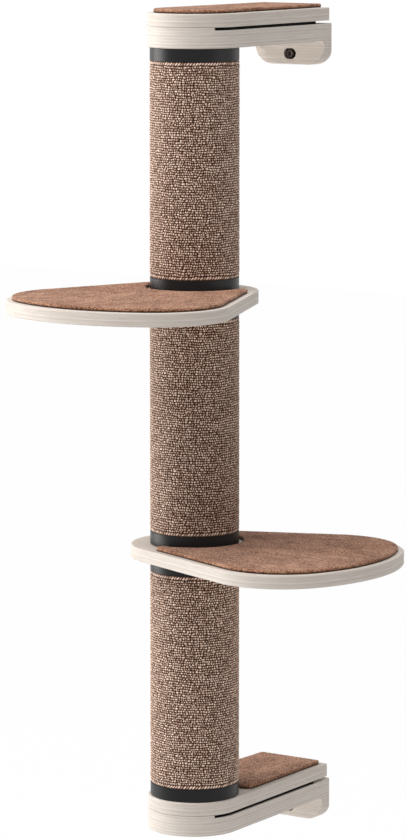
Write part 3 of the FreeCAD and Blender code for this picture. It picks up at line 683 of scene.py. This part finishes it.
def carpet_mat(settings, shape, rows, heading, axis, base, thickness, seed):
    """Points and faces of a mat: a ruled grid between two sides, a rounded rim and a flat back.

    Top: P(s, t) = first(s) (1 - t) + second(s) t at the rim's inner edge, raised by the pile's
    uneven field. Rim: the outline inset by r (1 - sin a) at height h - r (1 - cos a) as a goes from
    0 to a quarter turn, then down to the back.
    """
    count, round_off = shape.count, settings.edge_round
    share = np.linspace(0, 1, rows)[None, :, None]

    def ring(inset):
        first, second = shape.sides(inset)
        grid = first[:, None] * (1 - share) + second[:, None] * share
        return grid, np.concatenate([grid[:, 0], grid[-1, 1:], grid[-2::-1, -1], grid[0, -2:0:-1]])

    top, rim = ring(round_off)
    x, y = top[..., 0], top[..., 1]
    to_edge = np.minimum.reduce([
        np.hypot(x - x[:, :1], y - y[:, :1]), np.hypot(x - x[:, -1:], y - y[:, -1:]),
        np.hypot(x - x[:1], y - y[:1]), np.hypot(x - x[-1:], y - y[-1:])])
    fade = np.clip(to_edge / RIM_FADE, 0, 1)
    pile = sum(share * uneven(x, y, size, seed + k) for k, (share, size) in enumerate(PILE_FIELDS))
    height = thickness + settings.pile * pile * fade
    layers = [np.concatenate([top.reshape(-1, 2), height.reshape(-1, 1)], 1)]
    profile = [(round_off * (1 - math.sin(a)), thickness - round_off * (1 - math.cos(a)))
               for a in np.radians(RIM_ANGLES)]
    profile += [(inset, thickness * share) for inset, share in RIM_FOOT]
    for inset, level in profile:
        edge = ring(inset)[1]
        ragged = uneven(edge[:, 0], edge[:, 1], RAGGED_SIZE, seed + 3) * RAGGED
        layers.append(np.column_stack([edge, np.full(len(edge), level) + ragged * (level > 0)]))
    number = np.arange(count * rows).reshape(count, rows)
    border = np.concatenate([number[:, 0], number[-1, 1:], number[-2::-1, -1], number[0, -2:0:-1]])
    rings = [border] + [
        count * rows + k * len(border) + np.arange(len(border)) for k in range(len(profile))]
    faces = grid_quads(count, rows).tolist()
    for upper, lower in zip(rings, rings[1:]):
        faces += np.stack([upper, lower, np.roll(lower, -1), np.roll(upper, -1)], 1).tolist()
    back = rings[-1]
    first, second = back[:count], back[count + rows - 2:2 * count + rows - 2][::-1]
    faces += np.stack([first[1:-2], first[2:-1], second[2:-1], second[1:-2]], 1).tolist()
    faces.append([first[-2], first[-1], *back[count:count + rows - 2], second[-1], second[-2]])
    faces.append([first[1], first[0], *back[2 * count + rows - 2:][::-1], second[0], second[1]])
    x, y, z = np.concatenate(layers).T
    cos, sin = math.cos(heading), math.sin(heading)
    points = np.stack([axis[0] + x * cos - y * sin, axis[1] + x * sin + y * cos, base + z], 1)
    outline = ring(0)[1]
    across, along = outline.T
    area = abs(np.sum(across * np.roll(along, -1) - along * np.roll(across, -1))) / 2
    return points, faces, area, np.ptp(outline, axis=0)


SCREW_SIDES = 48                       # points round a screw, a multiple of its socket's six sides


def threaded_screw(centre_x, centre_z, start, head_radius, end):
    """Points and faces of a wall screw that points along +Y, as a grid of places along it by turns.

    Radius = round part + hexagon part / cos(turn within a sixth), and along the thread
    thread radius - depth * (0.5 + 0.5 cos(2 pi (place / pitch - turn)))^0.6.
    """
    socket, socket_depth, chamfer = 2.4 * MM, 2.4 * MM, 0.25 * MM
    head_height, edge, neck = 4 * MM, 1.2 * MM, 2.7 * MM
    thread, pitch, depth, tip = 3.0 * MM, 2.6 * MM, 0.75 * MM, 7 * MM
    past_wall, run_out, run_in = 1 * MM, 1.5 * MM, 0.4 * MM     # where the thread takes over
    rim = np.radians(np.linspace(0, 90, 7))                 # round the head's edge
    thread_start = past_wall - start
    reach = end - start
    ridge = np.arange(thread_start + run_in, reach - tip, pitch / 10)
    point = np.linspace(reach - tip, reach, 22)[:-1]
    places = [
        (socket_depth, 0, 0), (socket_depth, 0, socket), (chamfer, 0, socket),
        (0, 0, socket + chamfer)]
    places += [(edge * (1 - math.cos(a)), head_radius - edge * (1 - math.sin(a)), 0) for a in rim]
    places += [
        (head_height, head_radius, 0), (head_height, neck, 0), (thread_start - run_out, neck, 0)]
    plain = len(places)                                     # places in front of the thread
    along = np.array([p[0] for p in places] + [*ridge, *point, reach])
    taper = thread * (reach - point) / tip
    radius = np.array([p[1] for p in places] + [thread] * len(ridge) + [*taper, 0])
    hexagon = np.array([p[2] for p in places] + [0] * (len(along) - plain))
    cut = np.zeros(len(along))
    cut[plain:-1] = depth * np.minimum(1, radius[plain:-1] / thread * 1.2)     # less at the tip
    turn = np.arange(SCREW_SIDES) / SCREW_SIDES
    sixth = (turn * 6 + 0.5) % 1 - 0.5
    corner = math.cos(math.pi / 6) / np.cos(sixth * math.pi / 3)
    helix = (0.5 + 0.5 * np.cos(2 * np.pi * (along[:, None] / pitch - turn[None, :]))) ** 0.6
    r = radius[:, None] + hexagon[:, None] * corner[None, :] - cut[:, None] * helix
    angle = 2 * np.pi * turn[None, :]
    y = np.broadcast_to(start + along[:, None], r.shape)
    points = np.stack([centre_x + r * np.cos(angle), y, centre_z + r * np.sin(angle)], -1)
    return points, grid_quads(len(along), SCREW_SIDES, False, True)


# ---------------------------------------------------------------- operators

class CATTREE_OT_weave_sleeves(bpy.types.Operator):
    """Weave the sisal sleeves of the column"""
    bl_idname = "cattree.weave_sleeves"
    bl_label = "Weave the sleeves"

    def execute(self, context):
        settings = context.scene.cat_tree_sisal
        material = sisal(settings)
        for seed, name in enumerate(SEGMENTS, 1):
            node = name + "_sisal_sleeve"
            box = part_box(node)
            points, quads, weave = woven_sleeve(settings, box, seed)
            piece = new_piece(
                name + "_woven_sleeve", points, quads.tolist(), "wall_frame",
                material, [node])
            layer = piece.data.uv_layers.new(name="weave")
            layer.uv.foreach_set("vector", weave.astype(np.float32).ravel())
        return {"FINISHED"}


DRAWN_SPACING = 2 * MM                 # point spacing at which a mat has the points listed here
MATS = (                               # place, board, body, outline, points both ways, heading
    ("upper_arm", "upper_board", "wall_frame", upper_arm_shape, 190, 50, 90),
    ("lower_arm", "lower_board", "wall_frame", lower_arm_shape, 240, 96, 90),
    ("lower_platform", "lower_platform", "lower_platform_body", platform_shape, 460, 100, 0),
    ("upper_platform", "upper_platform", "upper_platform_body", platform_shape, 460, 100, -90),
)


class CATTREE_OT_lay_mats(bpy.types.Operator):
    """Lay the carpet mats on the arms and platforms"""
    bl_idname = "cattree.lay_mats"
    bl_label = "Lay the mats"

    def execute(self, context):
        settings = context.scene.cat_tree_carpet
        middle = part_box("middle_sisal_sleeve")
        axis = ((middle[0].x + middle[1].x) / 2, (middle[0].y + middle[1].y) / 2)
        fine = DRAWN_SPACING / settings.point_spacing
        for seed, (place, board, body, shape, count, rows, degrees) in enumerate(MATS):
            heading = math.radians(degrees)
            node = place + "_mat"
            low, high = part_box(node)
            outline = shape(2 * round(count * fine / 2) + 1)
            points, faces, area, size = carpet_mat(
                settings, outline, round(rows * fine), heading, axis, low.z, high.z - low.z,
                10 * seed)
            material = carpet(settings, "needled_carpet_" + node, heading, (low, high))
            piece = new_piece(node + "_pile", points, faces, body, material, [node])
            sealed(piece.data)
        return {"FINISHED"}


class CATTREE_OT_cut_screws(bpy.types.Operator):
    """Cut the wall screws with their threads and sockets"""
    bl_idname = "cattree.cut_screws"
    bl_label = "Cut the wall screws"

    def execute(self, context):
        material = oxide_steel()
        for arm in ("lower", "upper"):
            low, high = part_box(arm + "_wall_screw")
            centre = (low + high) / 2
            points, quads = threaded_screw(
                centre.x, centre.z, low.y, (high.x - low.x) / 2, high.y)
            piece = new_piece(
                arm + "_threaded_wall_screw", points, quads.tolist(), "wall_frame",
                material, [arm + "_wall_screw"])
            sealed(piece.data)
        return {"FINISHED"}


class CATTREE_OT_finish_parts(bpy.types.Operator):
    """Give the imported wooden, plastic and steel parts their finishes"""
    bl_idname = "cattree.finish_parts"
    bl_label = "Finish the parts"

    def execute(self, context):
        timber = context.scene.cat_tree_timber
        along_arm = math.pi / 2
        headings = {"lower_platform": 0.0, "upper_platform": -math.pi / 2}
        plain = {
            "black_plastic": moulded_black(), "white_nylon": moulded_nylon(),
            "zinc_steel": zinc_steel(), "paper_tube": paper_tube(),
            "dark_steel": bpy.data.materials.get("black_oxide_steel") or oxide_steel(),
        }
        plate = painted_shade_plate()
        slots = {row["node"]: row["material_slot"] for row in frame["record"]["subparts"]}
        for node, piece in frame["nodes"].items():
            if piece.hide_render:
                continue
            slot = slots[node]
            if slot == "whitewashed_birch_plywood":
                finish = plywood(
                    timber, "whitewashed_birch_" + node, headings.get(node, along_arm),
                    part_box(node))
            # the slot's plate is near-black as painted shade for the dark inside of the slot
            elif node.endswith("_spacer"):
                finish = plate
            else:
                finish = plain[slot]
            piece.data.materials.clear()
            piece.data.materials.append(finish)
        return {"FINISHED"}


FLOOR_HALF = 9.0
FLOOR_WHITE = 0.98                     # share of plain white that the camera sees, over its shadow
LAMP_AIM = Vector((0, -0.25, 0.55))
LAMPS = (                              # name, setting of its power, size, offset, colour
    ("key_lamp", "key_power", 4.0, (-3.8, -3.9, 5.6), "FFFCFA"),
    ("side_lamp", "side_power", 1.6, (-2.4, -0.8, 0.1), "FFFCFA"),
    ("top_lamp", "top_power", 2.0, (0.2, -1.3, 3.0), "FFFCFA"),
    ("fill_lamp", "fill_power", 1.4, (2.4, 0.6, 0.4), "FFFBF8"),
)


class CATTREE_OT_set_stage(bpy.types.Operator):
    """Set the floor, the light and the camera"""
    bl_idname = "cattree.set_stage"
    bl_label = "Set the stage"

    def execute(self, context):
        scene, stage = context.scene, context.scene.cat_tree_stage
        self.floor(scene, stage)
        self.sky(scene, stage)
        self.lamps(scene, stage)
        self.camera(scene, stage)
        scene.view_settings.view_transform = "Standard"
        return {"FINISHED"}

    def floor(self, scene, stage):
        """A floor that looks plain white but for a trace of the object's shadow."""
        corners = [(-1, -1), (1, -1), (1, 1), (-1, 1)]
        mesh = bpy.data.meshes.new("studio_floor")
        mesh.from_pydata(
            [(x * FLOOR_HALF, y * FLOOR_HALF, -stage.floor_drop) for x, y in corners], [],
            [(0, 1, 2, 3)])
        made, tree, shader = new_material(
            "white_studio_floor", Base_Color=rgba(linear("F4F4F3")), Roughness=0.9)
        seen = add(tree, "Math", {0: background_rays(tree), 1: FLOOR_WHITE}, operation="MULTIPLY")
        white = add(tree, "Emission", {"Color": rgba(linear("FFFFFF")), "Strength": 1.0})
        mixed = add(tree, "MixShader", {0: seen, 1: shader, 2: white})
        tree.links.new(mixed.outputs[0], tree.nodes["Material Output"].inputs["Surface"])
        mesh.materials.append(made)
        floor = bpy.data.objects.new("studio_floor", mesh)
        scene.collection.objects.link(floor)

    def sky(self, scene, stage):
        """Even light from all round, behind a background that looks plain white."""
        world = bpy.data.worlds.new("white_studio")
        world.use_nodes = True
        tree = world.node_tree
        strength = add(
            tree, "MapRange", {"Value": background_rays(tree), "To Min": stage.sky, "To Max": 1.0})
        ground = tree.nodes["Background"]
        ground.inputs["Color"].default_value = rgba(linear("FFFFFF"))
        tree.links.new(strength.outputs[0], ground.inputs["Strength"])
        scene.world = world

    def lamps(self, scene, stage):
        """Soft square lamps, each at its offset from one point and turned towards it."""
        for name, setting, size, offset, colour in LAMPS:
            offset, power = Vector(offset), getattr(stage, setting)
            light = bpy.data.lights.new(name, "AREA")
            light.energy, light.size, light.color = power, size, linear(colour)
            lamp = bpy.data.objects.new(name, light)
            lamp.location = LAMP_AIM + offset
            lamp.rotation_mode = "QUATERNION"
            lamp.rotation_quaternion = (-offset).to_track_quat("-Z", "Y")
            scene.collection.objects.link(lamp)

    def camera(self, scene, stage):
        """The photo's view: back from its aim along (sin a cos e, -cos a cos e, sin e)."""
        a, e = stage.azimuth, stage.elevation
        back = Vector((math.sin(a) * math.cos(e), -math.cos(a) * math.cos(e), math.sin(e)))
        right = Vector((math.cos(a), math.sin(a), 0))
        low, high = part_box("middle_sisal_sleeve")
        column = Vector(((low.x + high.x) / 2, (low.y + high.y) / 2, 0))
        aim = column + right * stage.aim_right + Vector((0, 0, stage.aim_height))
        data = bpy.data.cameras.new("photo_camera")
        data.sensor_width, data.lens, data.shift_y = 36.0, stage.focal_length, -stage.shift
        data.clip_start, data.clip_end = 0.05, 100
        camera = bpy.data.objects.new("photo_camera", data)
        camera.location = aim + back * stage.distance
        camera.rotation_mode = "QUATERNION"
        camera.rotation_quaternion = (-back).to_track_quat("-Z", "Y")
        scene.collection.objects.link(camera)
        scene.camera = camera


class CATTREE_PT_panel(bpy.types.Panel):
    """Lists the sizes, the colours and the steps of the cat tree"""
    bl_label = "Cat Tree"
    bl_idname = "CATTREE_PT_panel"
    bl_space_type = "VIEW_3D"
    bl_region_type = "UI"
    bl_category = "Cat Tree"

    def draw(self, context):
        for name in GROUPS:
            group = getattr(context.scene, name)
            box = self.layout.box()
            for setting in group.bl_rna.properties:
                if setting.identifier not in ("rna_type", "name"):
                    box.prop(group, setting.identifier)
        for step in STEPS:
            self.layout.operator(step.bl_idname)


GROUPS = {
    "cat_tree_sisal": CatTreeSisal,
    "cat_tree_carpet": CatTreeCarpet,
    "cat_tree_timber": CatTreeTimber,
    "cat_tree_stage": CatTreeStage,
}
STEPS = (
    CATTREE_OT_weave_sleeves, CATTREE_OT_lay_mats, CATTREE_OT_cut_screws, CATTREE_OT_finish_parts,
    CATTREE_OT_set_stage,
)


def register():
    for item in (*GROUPS.values(), *STEPS, CATTREE_PT_panel):
        bpy.utils.register_class(item)
    for name, group in GROUPS.items():
        setattr(bpy.types.Scene, name, PointerProperty(type=group))


def unregister():
    for name in GROUPS:
        delattr(bpy.types.Scene, name)
    for item in (CATTREE_PT_panel, *reversed(STEPS), *reversed(GROUPS.values())):
        bpy.utils.unregister_class(item)


def main():
    """Runs each step in order."""
    register()
    for step in STEPS:
        area, action = step.bl_idname.split(".")
        getattr(getattr(bpy.ops, area), action)()


if __name__ == "__main__":
    main()
